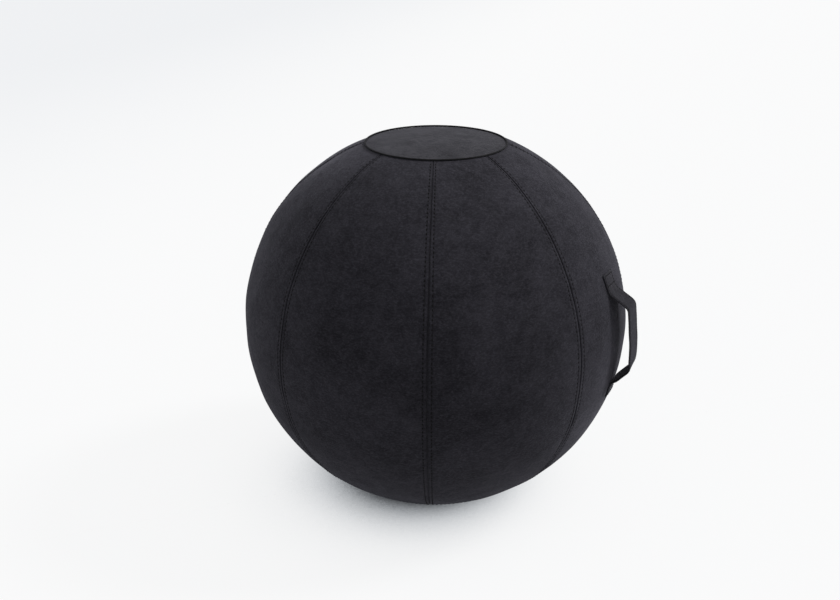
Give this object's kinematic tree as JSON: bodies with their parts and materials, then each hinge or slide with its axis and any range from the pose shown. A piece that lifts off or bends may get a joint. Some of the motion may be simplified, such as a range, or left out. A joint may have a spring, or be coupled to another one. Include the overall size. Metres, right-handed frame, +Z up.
{
  "type": "sitting ball",
  "caption": "Round sitting ball: an air bladder in a dark brushed cover of sewn gores, with a piped top panel, a strap handle at the side and a zipped flat base.",
  "frame": {"origin": "on the floor, at the middle of the flat base, straight under the ball's centre", "axes": "+Z is up, and +X points from the ball's axis to the strap handle"},
  "size_m": [0.6746, 0.6474, 0.6149],
  "materials": {
    "cover_cloth": "brushed matt pile",
    "top_cloth": "brushed matt pile",
    "piping_cloth": "brushed matt pile",
    "base_cloth": "dense matt weave",
    "strap_cloth": "brushed matt pile",
    "bladder_skin": "smooth satin",
    "valve_plastic": "smooth satin",
    "zip_tape": "woven",
    "zip_coil": "satin",
    "zip_metal": "satin"
  },
  "bodies": {
    "cover": {"bladder": "bladder_skin", "valve_seat": "valve_plastic", "valve_plug": "valve_plastic", "top_panel": "top_cloth", "top_piping": "piping_cloth", "base_panel": "base_cloth", "zip_tape_inner": "zip_tape", "zip_tape_outer": "zip_tape", "zip_coil_inner": "zip_coil", "zip_coil_outer": "zip_coil", "zip_start_stop": "zip_metal", "zip_end_stops": "zip_metal", "zip_end_strip": "base_cloth", "handle_upper_end": "strap_cloth", "handle_lower_end": "strap_cloth", "gore_panel_1": "cover_cloth", "gore_panel_2": "cover_cloth", "gore_panel_3": "cover_cloth", "gore_panel_4": "cover_cloth", "gore_panel_5": "cover_cloth", "gore_panel_6": "cover_cloth", "gore_panel_7": "cover_cloth", "gore_panel_8": "cover_cloth"},
    "handle": {"handle_loop": "strap_cloth"},
    "slider": {"zip_slider": "zip_metal"},
    "pull": {"zip_pull": "zip_metal"}
  },
  "joints": [
    {"name": "handle_swing", "type": "hinge", "parent": "cover", "child": "handle", "pos_m": [0.31599, 0, 0.32607], "axis": [-0.0698, 0, 0.9976], "range_deg": [-30, 30]},
    {"name": "zip_slide", "type": "hinge", "parent": "cover", "child": "slider", "pos_m": [0, 0, 0], "axis": [0, 0, 1], "range_deg": [-327, 0]},
    {"name": "pull_swing", "type": "hinge", "parent": "slider", "child": "pull", "pos_m": [-0.15951, 0.04613, 0.02221], "axis": [-0.8276, 0.2393, 0.5077], "range_deg": [-80, 80]}
  ]
}
